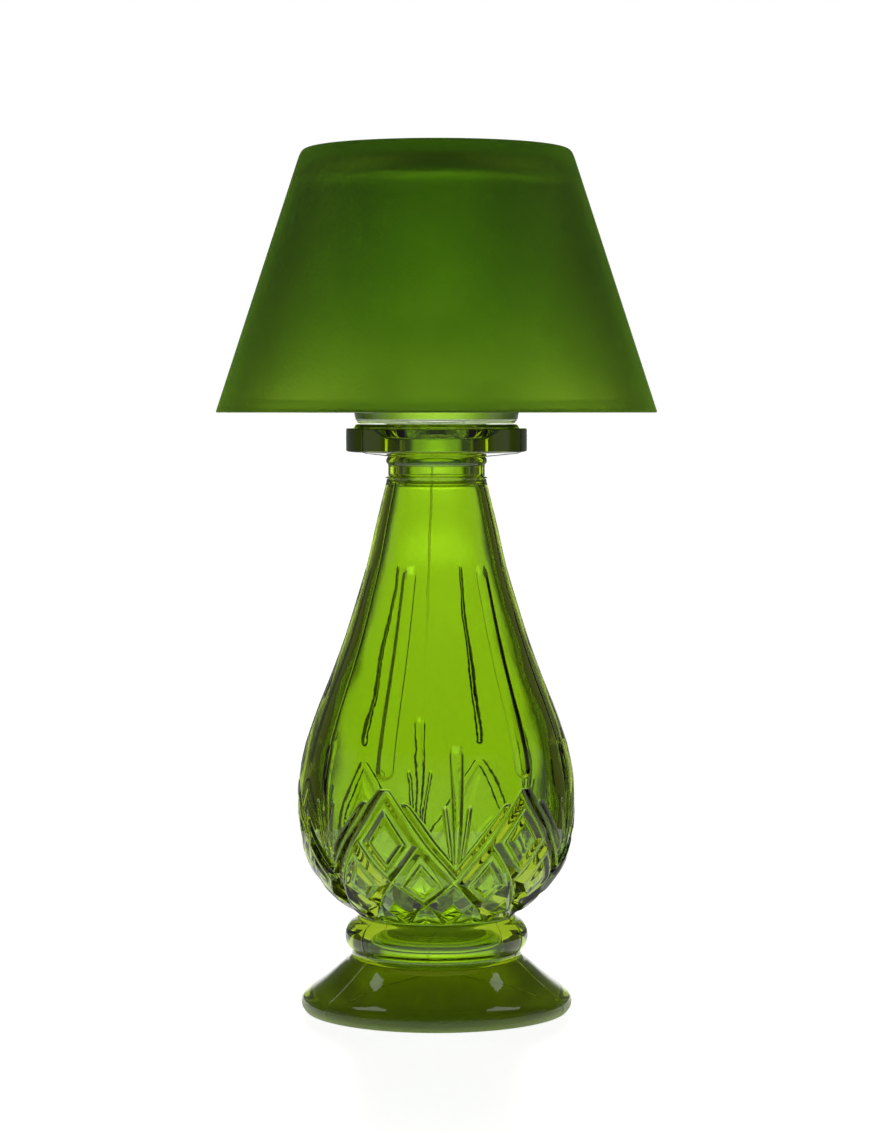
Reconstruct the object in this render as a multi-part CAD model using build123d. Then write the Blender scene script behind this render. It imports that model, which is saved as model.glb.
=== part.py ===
from build123d import *
import os
from math import cos, radians, sin

# A glass table lantern: a hollow moulded base, a clear cup that stands in the flange on top of the base,
# a closed shade that rests on the cup's rim, and a small battery light that stands in the cup.
# Millimetres. +Z is up, and the origin is the centre of the foot, on the surface that the lantern stands on.
# An outline is a list of (radius, height) points, turned about the vertical axis.

# ---- glass base ----
FOOT_RADIUS = 42.6
FOOT_CONTACT_OUTER = 40.6       # the ring that touches the table
FOOT_CONTACT_INNER = 35.5
PUNT_HEIGHT = 3.6               # hollow under the foot
RING_RADIUS = 28.85             # the round ring above the foot
RING_HEIGHT = 23.9
WAIST_RADIUS = 24.6             # between the ring and the belly
WAIST_HEIGHT = 30.3
BELLY_RADIUS = 43.6
BELLY_HEIGHT = 66.0
NECK_RADIUS = 15.2
NECK_HEIGHT = 168.6             # bottom of the neck's straight stretch
FIN_RADIUS = 16.15              # thin sharp collar round the neck
FIN_HEIGHT = 167.8
BEAD_RADIUS = 15.9              # round bead under the flange
BEAD_HEIGHT = 173.1
FLANGE_RADIUS = 28.5
FLANGE_BOTTOM = 175.6
FLANGE_TOP = 183.3
LIP_RADIUS = 25.3               # raised seat that the cup stands on
SEAT_HEIGHT = 184.6
SOCKET_RADIUS = 16.2            # mouth of the socket that the cup's peg goes into
BORE_RADIUS = 10.7              # bore of the neck
BORE_TOP = 180.2
CAVITY_TOP = 166.3              # flat shoulder where the bore opens into the cavity
CAVITY_FLOOR = 9.0

# ---- clear cup ----
CUP_RADIUS = 26.0
CUP_WALL = 2.6
CUP_FLOOR = 6.2
CUP_RIM = 266.2
PEG_RADIUS = 9.9
PEG_END = 172.0

# ---- shade ----
SHADE_BOTTOM = 188.1
SHADE_BOTTOM_RADIUS = 68.95
SHADE_TOP = 270.5
SHADE_TOP_RADIUS = 42.05
SHADE_WALL = 3.7                # measured level, across the slanted wall
SHOULDER_ROUND = 2.6
RIM_THICKNESS = 2.8             # flat ground edge at the bottom
RIM_TAPER_HEIGHT = 3.0          # over which the rim grows to the full wall
CEILING_CORNER = 8.0            # round inside the shade's top
COLLAR_INNER = 27.6             # moulded ring under the top, that keeps the shade on the cup
COLLAR_OUTER = 31.0
COLLAR_DEPTH = 2.8

# ---- battery light, measured up from the cup's floor ----
LIGHT_FOOT = SEAT_HEIGHT + CUP_FLOOR
HOUSING_RADIUS = 18.75
HOUSING_WALL = 1.5
HOUSING_HEIGHT = 16.5
DECK = 1.5
CAP_RADIUS = 17.0
CAP_THICKNESS = 1.4
CAP_RING_TOP = 3.4
CAP_RING_INNER = 15.8
CAP_RING_OUTER = 16.9
LUG_COUNT = 3
LUG_RADIUS = 17.8
LUG_HALF_ANGLE = 7.0            # degrees
LUG_BOTTOM = 2.2
TWIST = 20.0                    # degrees from locked to free
GROOVE_RADIUS = 18.0
GROOVE_PLAY = 0.2
GROOVE_PLAY_ANGLE = 2.0         # degrees
COIN_SLOT = (12.0, 1.4, 0.7)
CELL_RADIUS = 10.0
CELL_THICKNESS = 3.2
CELL_BOTTOM = 1.6
TRAY_INNER = 10.2
TRAY_OUTER = 11.8
TRAY_WEB_BOTTOM = 5.1
TRAY_WEB_TOP = 6.3
TRAY_HOLE = 6.0
BOARD_BOTTOM = 9.0
BOARD_TOP = 10.0
BOARD_HALF_LENGTH = 15.8
BOARD_HALF_WIDTH = 6.0
SCREW_OFFSET = 13.9             # from the axis, along X
SCREW_SHANK = 0.8
SCREW_HEAD = 1.8
SCREW_HEAD_HEIGHT = 1.1
SCREW_LENGTH = 8.0
SCREW_PLAY = 0.1
BOSS_RADIUS = 2.1
LENS_HOLE = 4.0
LENS_FLANGE = 6.0
LENS_FLANGE_HEIGHT = 1.1
LENS_TIP = 37.5
LENS_BORE = 3.2
LAMP_RADIUS = 2.5
LAMP_RIM_RADIUS = 2.9
LAMP_BOTTOM = 11.5
LAMP_TOP = 20.0
LEAD_PITCH = 2.54
LEAD_WIDTH = 0.5
SWITCH_SIZE = (8.6, 4.2, 3.6)
SWITCH_FRONT = -16.2            # the switch's outer face, along Y
KNOB_TRAVEL = 2.5
KNOB_HEIGHT = 11.8              # middle of the knob's slot
KNOB_STEM = (1.6, 1.4)          # width and height
KNOB_PLATE = (3.2, 1.1, 3.0)
SLOT_PLAY = 0.3
CONTACT_THICKNESS = 0.25
CONTACT_WIDTH = 3.0

STANDING = (Align.CENTER, Align.CENTER, Align.MIN)     # a cylinder that stands on its foot


def turned(*edges):
    """A solid of revolution from a closed outline of (radius, height) edges."""
    return revolve(Plane.XZ * make_face(edges), Axis.Z, 360)


def tube(outer, inner, bottom, top):
    """A plain round tube, or a disc where the inner radius is 0."""
    height = top - bottom
    shape = Pos(0, 0, bottom) * Cylinder(outer, height, align=STANDING)
    if inner > 0:
        shape -= Pos(0, 0, bottom) * Cylinder(inner, height, align=STANDING)
    return shape


def block(x_range, y_range, z_range):
    """A box between two corners."""
    middle = [(low + high) / 2 for low, high in (x_range, y_range, z_range)]
    size = [high - low for low, high in (x_range, y_range, z_range)]
    return Pos(*middle) * Box(*size)


def wedge(inner, outer, bottom, top, start, end):
    """A slice of a round tube between two angles in degrees."""
    half = [(start + end) / 2 + side * (end - start) / 2 for side in (-1, 1)]
    reach = outer * 1.5
    corners = [(0, 0)] + [(reach * cos(radians(a)), reach * sin(radians(a))) for a in half]
    slice_face = make_face(Polyline(*corners, close=True))
    slice_solid = extrude(Pos(0, 0, bottom) * slice_face, top - bottom)
    return tube(outer, inner, bottom, top) & slice_solid


# ---- the three glass pieces ----

def base_outer_outline():
    """Outside of the base, from the punt's rim round the foot and up to the socket's mouth."""
    foot = [
        Line((FOOT_CONTACT_INNER, 0), (FOOT_CONTACT_OUTER, 0)),
        ThreePointArc((FOOT_CONTACT_OUTER, 0), (FOOT_RADIUS, 3.4), (40.2, 6.9)),
        Spline((40.2, 6.9), (36.4, 9.6), (29.8, 15.2), (26.7, 18.2)),
    ]
    ring = [ThreePointArc((26.7, 18.2), (RING_RADIUS, RING_HEIGHT), (WAIST_RADIUS + 0.6, 29.3))]
    belly = [
        Line((WAIST_RADIUS + 0.6, 29.3), (WAIST_RADIUS, WAIST_HEIGHT)),
        Spline((WAIST_RADIUS, WAIST_HEIGHT), (30.6, 34.7), (37.8, 42.5), (42.0, 51.9),
               (BELLY_RADIUS, BELLY_HEIGHT), (41.2, 84.9), (34.2, 103.7), (25.9, 127.2),
               (19.8, 150.7), (15.6, FIN_HEIGHT - 0.5)),
    ]
    neck = [
        Polyline((15.6, FIN_HEIGHT - 0.5), (FIN_RADIUS, FIN_HEIGHT), (NECK_RADIUS, NECK_HEIGHT),
                 (NECK_RADIUS, BEAD_HEIGHT - 1.3)),
        ThreePointArc((NECK_RADIUS, BEAD_HEIGHT - 1.3), (BEAD_RADIUS, BEAD_HEIGHT),
                      (15.3, BEAD_HEIGHT + 1.3)),
    ]
    flange = [
        Line((15.3, BEAD_HEIGHT + 1.3), (FLANGE_RADIUS - 0.9, FLANGE_BOTTOM)),
        ThreePointArc((FLANGE_RADIUS - 0.9, FLANGE_BOTTOM), (FLANGE_RADIUS - 0.2, FLANGE_BOTTOM + 0.3),
                      (FLANGE_RADIUS, FLANGE_BOTTOM + 1.0)),
        Line((FLANGE_RADIUS, FLANGE_BOTTOM + 1.0), (FLANGE_RADIUS, FLANGE_TOP - 0.7)),
        ThreePointArc((FLANGE_RADIUS, FLANGE_TOP - 0.7), (FLANGE_RADIUS - 0.2, FLANGE_TOP - 0.2),
                      (FLANGE_RADIUS - 0.7, FLANGE_TOP)),
        Polyline((FLANGE_RADIUS - 0.7, FLANGE_TOP), (LIP_RADIUS + 0.7, FLANGE_TOP),
                 (LIP_RADIUS, SEAT_HEIGHT), (SOCKET_RADIUS, SEAT_HEIGHT)),
    ]
    return foot + ring + belly + neck + flange


def base_inner_outline():
    """Inside of the base, from the socket down the bore, round the belly and along the punt."""
    bore = Polyline((SOCKET_RADIUS, SEAT_HEIGHT), (BORE_RADIUS, BORE_TOP), (BORE_RADIUS, CAVITY_TOP),
                    (12.9, CAVITY_TOP))
    shoulder = ThreePointArc((12.9, CAVITY_TOP), (13.35, 166.05), (13.5, 165.5))
    cavity = Spline((13.5, 165.5), (14.8, 159.0), (16.4, 151.0), (22.1, 127.2), (29.4, 103.7), (35.4, 84.9),
                    (37.6, BELLY_HEIGHT), (36.0, 51.9), (30.4, 41.0), (22.4, 31.0), (21.6, 22.0), (21.2, 14.5))
    floor = Spline((21.2, 14.5), (20.4, 11.8), (17.5, 10.0), (9.0, 9.1), (0, CAVITY_FLOOR))
    axis = Line((0, CAVITY_FLOOR), (0, PUNT_HEIGHT))
    punt = ThreePointArc((0, PUNT_HEIGHT), (20.0, 2.6), (FOOT_CONTACT_INNER, 0))
    return [bore, shoulder, cavity, floor, axis, punt]


def glass_base():
    return turned(*base_outer_outline(), *base_inner_outline())


def glass_cup():
    """Straight cup with a heavy floor, a heel, a rounded rim and a peg that stands in the neck."""
    inner = CUP_RADIUS - CUP_WALL
    floor = LIGHT_FOOT
    peg = [
        Line((0, PEG_END), (PEG_RADIUS - 1.5, PEG_END)),
        ThreePointArc((PEG_RADIUS - 1.5, PEG_END), (PEG_RADIUS - 0.45, PEG_END + 0.45),
                      (PEG_RADIUS, PEG_END + 1.5)),
        Polyline((PEG_RADIUS, PEG_END + 1.5), (PEG_RADIUS, BORE_TOP + 0.4),
                 (SOCKET_RADIUS - 1.0, SEAT_HEIGHT - 0.1), (SOCKET_RADIUS - 1.0, SEAT_HEIGHT),
                 (LIP_RADIUS - 0.9, SEAT_HEIGHT)),
    ]
    side = [
        ThreePointArc((LIP_RADIUS - 0.9, SEAT_HEIGHT), (LIP_RADIUS - 0.1, SEAT_HEIGHT + 0.5),
                      (LIP_RADIUS + 0.3, SEAT_HEIGHT + 1.4)),
        Line((LIP_RADIUS + 0.3, SEAT_HEIGHT + 1.4), (CUP_RADIUS, SEAT_HEIGHT + 3.6)),
        Line((CUP_RADIUS, SEAT_HEIGHT + 3.6), (CUP_RADIUS, CUP_RIM - CUP_WALL / 2)),
        ThreePointArc((CUP_RADIUS, CUP_RIM - CUP_WALL / 2), (CUP_RADIUS - CUP_WALL / 2, CUP_RIM),
                      (inner, CUP_RIM - CUP_WALL / 2)),
    ]
    inside = [
        Line((inner, CUP_RIM - CUP_WALL / 2), (inner, floor + 2.0)),
        ThreePointArc((inner, floor + 2.0), (inner - 0.6, floor + 0.6), (inner - 2.0, floor)),
        Polyline((inner - 2.0, floor), (0, floor), (0, PEG_END)),
    ]
    return turned(*peg, *side, *inside)


def shade_radius(height):
    """Outer radius of the shade's cone at a height."""
    share = (height - SHADE_BOTTOM) / (SHADE_TOP - SHADE_BOTTOM)
    return SHADE_BOTTOM_RADIUS + share * (SHADE_TOP_RADIUS - SHADE_BOTTOM_RADIUS)


def glass_shade():
    """Closed cone with a thick top, a rounded shoulder, a thin rim and a collar under the top."""
    corner_height = CUP_RIM - CEILING_CORNER
    corner_radius = shade_radius(corner_height) - SHADE_WALL
    lip_height = SHADE_BOTTOM + RIM_TAPER_HEIGHT
    lip_inner = shade_radius(lip_height) - SHADE_WALL
    shade = turned(
        Polyline((0, SHADE_TOP), (SHADE_TOP_RADIUS, SHADE_TOP), (SHADE_BOTTOM_RADIUS, SHADE_BOTTOM + 0.3),
                 (SHADE_BOTTOM_RADIUS - 0.4, SHADE_BOTTOM),
                 (SHADE_BOTTOM_RADIUS - RIM_THICKNESS, SHADE_BOTTOM),
                 (lip_inner, lip_height), (corner_radius, corner_height)),
        ThreePointArc((corner_radius, corner_height), (corner_radius - 3.1, CUP_RIM - 2.3),
                      (corner_radius - CEILING_CORNER * 0.9, CUP_RIM)),
        Polyline((corner_radius - CEILING_CORNER * 0.9, CUP_RIM), (0, CUP_RIM), (0, SHADE_TOP)),
    )
    shoulder = shade.edges().filter_by(GeomType.CIRCLE).sort_by(Axis.Z)[-1]
    shade = fillet(shoulder, SHOULDER_ROUND)
    return shade + tube(COLLAR_OUTER, COLLAR_INNER, CUP_RIM - COLLAR_DEPTH, CUP_RIM + 0.5)


# ---- the battery light, drawn with its foot at height 0 ----

def light_housing():
    """Round shell with a deck, a hole for the lens, screw bosses, bayonet grooves and a switch slot."""
    inner = HOUSING_RADIUS - HOUSING_WALL
    deck_bottom = HOUSING_HEIGHT - DECK
    shell = tube(HOUSING_RADIUS, 0, 0, HOUSING_HEIGHT)
    shell = fillet(shell.edges().group_by(Axis.Z)[-1], 1.2)
    shell -= tube(inner, 0, 0, deck_bottom)
    shell -= tube(LENS_HOLE, 0, deck_bottom, HOUSING_HEIGHT)
    for x in (-SCREW_OFFSET, SCREW_OFFSET):
        boss = Pos(x, 0, 0) * tube(BOSS_RADIUS, SCREW_SHANK, BOARD_TOP, deck_bottom)
        shell += boss
    step = 360 / LUG_COUNT
    for number in range(LUG_COUNT):
        start = number * step - LUG_HALF_ANGLE - GROOVE_PLAY_ANGLE
        end = number * step + TWIST + LUG_HALF_ANGLE + GROOVE_PLAY_ANGLE
        entry = end - 2 * (LUG_HALF_ANGLE + GROOVE_PLAY_ANGLE)
        top = CAP_RING_TOP + GROOVE_PLAY
        shell -= wedge(inner - 1, GROOVE_RADIUS, LUG_BOTTOM - GROOVE_PLAY, top, start, end)
        shell -= wedge(inner - 1, GROOVE_RADIUS, 0, top, entry, end)
    half_slot = (KNOB_STEM[0] + KNOB_TRAVEL) / 2 + SLOT_PLAY
    half_height = KNOB_STEM[1] / 2 + SLOT_PLAY
    shell -= block((-half_slot, half_slot), (-HOUSING_RADIUS - 1, -inner + 1),
                   (KNOB_HEIGHT - half_height, KNOB_HEIGHT + half_height))
    return shell


def base_cap():
    """Twist-off bottom cap: a plate with a coin slot, a ring and bayonet lugs."""
    cap = tube(CAP_RADIUS, 0, 0, CAP_THICKNESS)
    cap += tube(CAP_RING_OUTER, CAP_RING_INNER, CAP_THICKNESS, CAP_RING_TOP)
    for number in range(LUG_COUNT):
        middle = number * 360 / LUG_COUNT
        cap += wedge(CAP_RING_OUTER - 0.4, LUG_RADIUS, LUG_BOTTOM, CAP_RING_TOP,
                     middle - LUG_HALF_ANGLE, middle + LUG_HALF_ANGLE)
    length, width, depth = COIN_SLOT
    return cap - block((-length / 2, length / 2), (-width / 2, width / 2), (0, depth))


def flame_lens():
    """Hollow flame on a neck, with a flange that sits under the deck."""
    deck_bottom = HOUSING_HEIGHT - DECK
    bottom = deck_bottom - LENS_FLANGE_HEIGHT
    neck = LENS_HOLE - 0.1
    outer = [
        Polyline((LENS_BORE, bottom), (LENS_FLANGE, bottom), (LENS_FLANGE, deck_bottom), (neck, deck_bottom),
                 (neck, HOUSING_HEIGHT)),
        Spline((neck, HOUSING_HEIGHT), (5.6, 21.5), (3.5, 29.5), (0.9, LENS_TIP - 1.0), (0, LENS_TIP),
               tangents=[(0.6, 1), (-1, 0)]),
    ]
    inner = [
        Line((0, LENS_TIP), (0, 26.5)),
        Spline((0, 26.5), (2.0, 24.6), (LENS_BORE, 20.0), tangents=[(1, 0), (0, -1)]),
        Line((LENS_BORE, 20.0), (LENS_BORE, bottom)),
    ]
    return turned(*outer, *inner)


def led_lamp():
    """Round 5 mm lamp with its rim and a domed end."""
    shoulder = LAMP_TOP - LAMP_RADIUS
    lamp = tube(LAMP_RIM_RADIUS, 0, LAMP_BOTTOM, LAMP_BOTTOM + 1.0)
    lamp += tube(LAMP_RADIUS, 0, LAMP_BOTTOM, shoulder)
    return lamp + Pos(0, 0, shoulder) * Sphere(LAMP_RADIUS)


def at_leads(shape):
    """The same shape at each of the lamp's two legs."""
    return [Pos(side * LEAD_PITCH / 2, 0, 0) * shape for side in (-1, 1)]


def led_leads():
    half = LEAD_WIDTH / 2
    return Compound(at_leads(block((-half, half), (-half, half), (BOARD_BOTTOM - 0.9, LAMP_BOTTOM))))


def circuit_board():
    """Board with a tongue under the switch, a tongue for the side contact, and holes."""
    shape = block((-BOARD_HALF_LENGTH, BOARD_HALF_LENGTH), (-BOARD_HALF_WIDTH, BOARD_HALF_WIDTH),
                  (BOARD_BOTTOM, BOARD_TOP))
    shape += block((-5.2, 5.2), (-16.2, -BOARD_HALF_WIDTH), (BOARD_BOTTOM, BOARD_TOP))
    shape += block((-3.0, 3.0), (BOARD_HALF_WIDTH, 12.0), (BOARD_BOTTOM, BOARD_TOP))
    for x in (-SCREW_OFFSET, SCREW_OFFSET):
        shape -= Pos(x, 0, 0) * tube(SCREW_SHANK + SCREW_PLAY, 0, BOARD_BOTTOM, BOARD_TOP)
    for hole in at_leads(tube(LEAD_WIDTH, 0, BOARD_BOTTOM, BOARD_TOP)):
        shape -= hole
    return shape


def chip_resistor():
    return block((5.0, 7.0), (0.4, 1.65), (BOARD_TOP, BOARD_TOP + 0.6))


def switch_body():
    """Slide switch with an open slot in its outer face for the knob's stem."""
    length, depth, height = SWITCH_SIZE
    body = block((-length / 2, length / 2), (SWITCH_FRONT, SWITCH_FRONT + depth),
                 (BOARD_TOP, BOARD_TOP + height))
    half_slot = (KNOB_STEM[0] + KNOB_TRAVEL) / 2 + SLOT_PLAY
    half_height = KNOB_STEM[1] / 2 + SLOT_PLAY / 2
    body -= block((-half_slot, half_slot), (SWITCH_FRONT, SWITCH_FRONT + 1.8),
                  (KNOB_HEIGHT - half_height, KNOB_HEIGHT + half_height))
    return body


def switch_knob():
    """Knob at its off end: a ribbed plate outside the housing on a stem into the switch."""
    off = -KNOB_TRAVEL / 2
    width, height = KNOB_STEM
    plate_width, plate_depth, plate_height = KNOB_PLATE
    face = -HOUSING_RADIUS - 0.2
    knob = block((off - width / 2, off + width / 2), (face, SWITCH_FRONT + 1.5),
                 (KNOB_HEIGHT - height / 2, KNOB_HEIGHT + height / 2))
    plate = block((off - plate_width / 2, off + plate_width / 2), (face - plate_depth, face),
                  (KNOB_HEIGHT - plate_height / 2, KNOB_HEIGHT + plate_height / 2))
    for rib in (-1, 0, 1):
        middle = off + rib * plate_width / 3.2
        plate -= block((middle - 0.2, middle + 0.2), (face - plate_depth, face - plate_depth + 0.35),
                       (KNOB_HEIGHT - plate_height / 2, KNOB_HEIGHT + plate_height / 2))
    return knob + plate


def coin_cell():
    """Button cell: a can with a narrower, slightly raised inner face."""
    cell = tube(CELL_RADIUS, 0, CELL_BOTTOM, CELL_BOTTOM + CELL_THICKNESS - 0.3)
    return cell + tube(CELL_RADIUS - 1.1, 0, CELL_BOTTOM, CELL_BOTTOM + CELL_THICKNESS)


def battery_tray():
    """Ring round the cell with a web over it, a gap for the side contact and two spacer posts."""
    tray = tube(TRAY_OUTER, TRAY_INNER, CELL_BOTTOM + 0.2, TRAY_WEB_TOP)
    tray += tube(TRAY_OUTER, TRAY_HOLE, TRAY_WEB_BOTTOM, TRAY_WEB_TOP)
    for side in (-1, 1):
        reach = sorted((side * (TRAY_OUTER - 0.8), side * SCREW_OFFSET))
        tray += block(reach, (-BOSS_RADIUS, BOSS_RADIUS), (TRAY_WEB_BOTTOM, TRAY_WEB_TOP))
        tray += Pos(side * SCREW_OFFSET, 0, 0) * tube(BOSS_RADIUS, 0, TRAY_WEB_BOTTOM, BOARD_BOTTOM)
        hole = tube(SCREW_SHANK + SCREW_PLAY, 0, TRAY_WEB_BOTTOM, BOARD_BOTTOM)
        tray -= Pos(side * SCREW_OFFSET, 0, 0) * hole
    gap = CONTACT_WIDTH / 2 + SLOT_PLAY
    return tray - block((-gap, gap), (TRAY_INNER - 1.0, TRAY_OUTER + 1), (0, TRAY_WEB_TOP))


def bent_strip(points, width):
    """A thin strip along (y, z) points, its thickness measured up, centred on X."""
    upper = [(y, z + CONTACT_THICKNESS) for y, z in reversed(points)]
    face = Plane.YZ * make_face(Polyline(*points, *upper, close=True))
    return extrude(face, width / 2, both=True)


def negative_contact():
    """Spring strip from under the board, down through the tray's web, onto the cell's inner face."""
    top = BOARD_BOTTOM - CONTACT_THICKNESS
    touch = CELL_BOTTOM + CELL_THICKNESS
    return bent_strip([(5.8, top), (2.6, top), (-1.6, touch + 0.35), (-2.4, touch), (-3.2, touch),
                       (-4.2, touch + 0.5)],
                      CONTACT_WIDTH)


def positive_contact():
    """Angle strip from under the board's rear tongue, down the cell's side."""
    near = CELL_RADIUS + 0.03
    far = near + CONTACT_THICKNESS
    half = CONTACT_WIDTH / 2
    foot = block((-half, half), (7.2, far), (BOARD_BOTTOM - CONTACT_THICKNESS, BOARD_BOTTOM))
    return foot + block((-half, half), (near, far), (CELL_BOTTOM + 0.6, BOARD_BOTTOM))


def housing_screws():
    """Two screws up through the tray's posts and the board into the housing's bosses."""
    bottom = TRAY_WEB_BOTTOM - SCREW_HEAD_HEIGHT
    screw = tube(SCREW_HEAD, 0, bottom, TRAY_WEB_BOTTOM)
    screw = fillet(screw.edges().group_by(Axis.Z)[0], 0.4)
    screw += tube(SCREW_SHANK, 0, TRAY_WEB_BOTTOM, TRAY_WEB_BOTTOM + SCREW_LENGTH)
    slot = block((-SCREW_HEAD, SCREW_HEAD), (-0.25, 0.25), (bottom, bottom + 0.5))
    slot += block((-0.25, 0.25), (-SCREW_HEAD, SCREW_HEAD), (bottom, bottom + 0.5))
    screw -= slot
    return Compound([Pos(x, 0, 0) * screw for x in (-SCREW_OFFSET, SCREW_OFFSET)])


GLASS = {"glass_base": glass_base, "glass_cup": glass_cup, "glass_shade": glass_shade}
LIGHT = {
    "light_housing": light_housing,
    "base_cap": base_cap,
    "flame_lens": flame_lens,
    "led_lamp": led_lamp,
    "led_leads": led_leads,
    "circuit_board": circuit_board,
    "chip_resistor": chip_resistor,
    "switch_body": switch_body,
    "switch_knob": switch_knob,
    "coin_cell": coin_cell,
    "battery_tray": battery_tray,
    "positive_contact": positive_contact,
    "negative_contact": negative_contact,
    "housing_screws": housing_screws,
}

os.makedirs("parts", exist_ok=True)
for name, make in GLASS.items():
    export_step(make(), f"parts/{name}.step")
for name, make in LIGHT.items():
    export_step(Pos(0, 0, LIGHT_FOOT) * make(), f"parts/{name}.step")
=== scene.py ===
import math

import bpy
import numpy as np
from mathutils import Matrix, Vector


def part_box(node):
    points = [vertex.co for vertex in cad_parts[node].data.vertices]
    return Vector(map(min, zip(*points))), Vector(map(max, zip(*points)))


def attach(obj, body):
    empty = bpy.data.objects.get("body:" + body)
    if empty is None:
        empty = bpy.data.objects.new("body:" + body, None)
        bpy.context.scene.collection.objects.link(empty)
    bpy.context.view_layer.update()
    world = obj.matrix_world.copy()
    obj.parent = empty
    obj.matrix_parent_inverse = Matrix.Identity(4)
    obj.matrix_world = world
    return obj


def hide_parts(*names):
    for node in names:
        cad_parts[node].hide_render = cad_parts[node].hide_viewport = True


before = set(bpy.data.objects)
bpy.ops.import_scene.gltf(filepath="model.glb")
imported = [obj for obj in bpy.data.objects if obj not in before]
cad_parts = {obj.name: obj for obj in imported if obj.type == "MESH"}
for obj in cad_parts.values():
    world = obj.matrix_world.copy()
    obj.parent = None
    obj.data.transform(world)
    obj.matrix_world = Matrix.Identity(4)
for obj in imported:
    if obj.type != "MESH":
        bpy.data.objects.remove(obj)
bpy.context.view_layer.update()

# A green glass table lantern: a base with a cut pattern, a clear cup, a closed satin shade, and a
# battery light inside the cup. Outlines are (radius, height) points in millimetres, in the CAD's
# own frame; meshes are in metres. Angles round the axis are in degrees from -Y, the front.
MM = 0.001


# ---------------------------------------------------------------- outlines

def smooth(points, step, start=None, end=None):
    """A cubic spline through the points, sampled about every step.
    start and end are its directions at its two ends, where they are given."""
    p = np.array(points, float)
    chord = np.linalg.norm(np.diff(p, axis=0), axis=1)
    t = np.concatenate([[0], np.cumsum(chord)])
    n = len(p)
    system = np.zeros((n, n))
    known = np.zeros((n, 2))
    for i in range(1, n - 1):
        before, after = t[i] - t[i - 1], t[i + 1] - t[i]
        system[i, i - 1:i + 2] = after, 2 * (before + after), before
        known[i] = 3 * (after * (p[i] - p[i - 1]) / before + before * (p[i + 1] - p[i]) / after)
    for row, direction, near in ((0, start, 1), (n - 1, end, n - 2)):
        if direction is None:
            system[row, row], system[row, near] = 2, 1
            known[row] = 3 * (p[near] - p[row]) / (t[near] - t[row])
        else:
            system[row, row] = 1
            known[row] = np.array(direction, float) / np.linalg.norm(direction)
    slope = np.linalg.solve(system, known)
    out = []
    for i in range(n - 1):
        span = t[i + 1] - t[i]
        u = np.linspace(0, 1, max(2, int(math.ceil(span / step)) + 1))[:-1, None]
        out.append((1 + 2 * u) * (1 - u) ** 2 * p[i] + u * (1 - u) ** 2 * span * slope[i]
                   + u * u * (3 - 2 * u) * p[i + 1] + u * u * (u - 1) * span * slope[i + 1])
    return np.vstack(out + [p[-1:]])


def straight(start, end, step):
    """Evenly spaced points from start to end."""
    start, end = np.array(start, float), np.array(end, float)
    count = max(2, int(math.ceil(np.linalg.norm(end - start) / step)) + 1)
    return start + np.linspace(0, 1, count)[:, None] * (end - start)


def arc(start, middle, end, step):
    """The circular arc through three points."""
    a, b, c = (complex(*q) for q in (start, middle, end))
    w = (c - a) / (b - a)
    centre = (b - a) * (w - abs(w) ** 2) / (2j * w.imag) + a
    radius = abs(a - centre)
    first = math.atan2((a - centre).imag, (a - centre).real)
    turn = [(math.atan2((q - centre).imag, (q - centre).real) - first) % (2 * math.pi)
            for q in (b, c)]
    sweep = turn[1] if turn[0] < turn[1] else turn[1] - 2 * math.pi
    angles = first + np.linspace(0, sweep, max(4, int(math.ceil(abs(sweep) * radius / step)) + 1))
    return np.stack([centre.real + radius * np.cos(angles),
                     centre.imag + radius * np.sin(angles)], axis=1)


BEND_POINTS = 6                 # on each rounded corner, its start among them
SAME_POINT = 1e-4               # mm: points closer than this are one point


def eased(points, radius, step):
    """A polyline whose inner corners are rounded by a small bend of about that radius."""
    p = [np.array(q, float) for q in points]
    out = [p[0][None]]
    for before, corner, after in zip(p, p[1:], p[2:]):
        to_before, to_after = before - corner, after - corner
        reach = min(radius, 0.45 * np.linalg.norm(to_before), 0.45 * np.linalg.norm(to_after))
        a = corner + to_before / np.linalg.norm(to_before) * reach
        b = corner + to_after / np.linalg.norm(to_after) * reach
        out.append(straight(out[-1][-1], a, step)[1:])
        u = np.linspace(0, 1, BEND_POINTS)[1:, None]
        out.append((1 - u) ** 2 * a + 2 * u * (1 - u) * corner + u * u * b)
    out.append(straight(out[-1][-1], p[-1], step)[1:])
    return np.vstack(out)


def joined(*stretches):
    """One outline from stretches that follow each other, with repeated points dropped."""
    points = np.vstack(stretches)
    keep = [0]
    for i in range(1, len(points)):
        if np.linalg.norm(points[i] - points[keep[-1]]) > SAME_POINT:
            keep.append(i)
    return points[keep]


# ---------------------------------------------------------------- turned meshes

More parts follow.
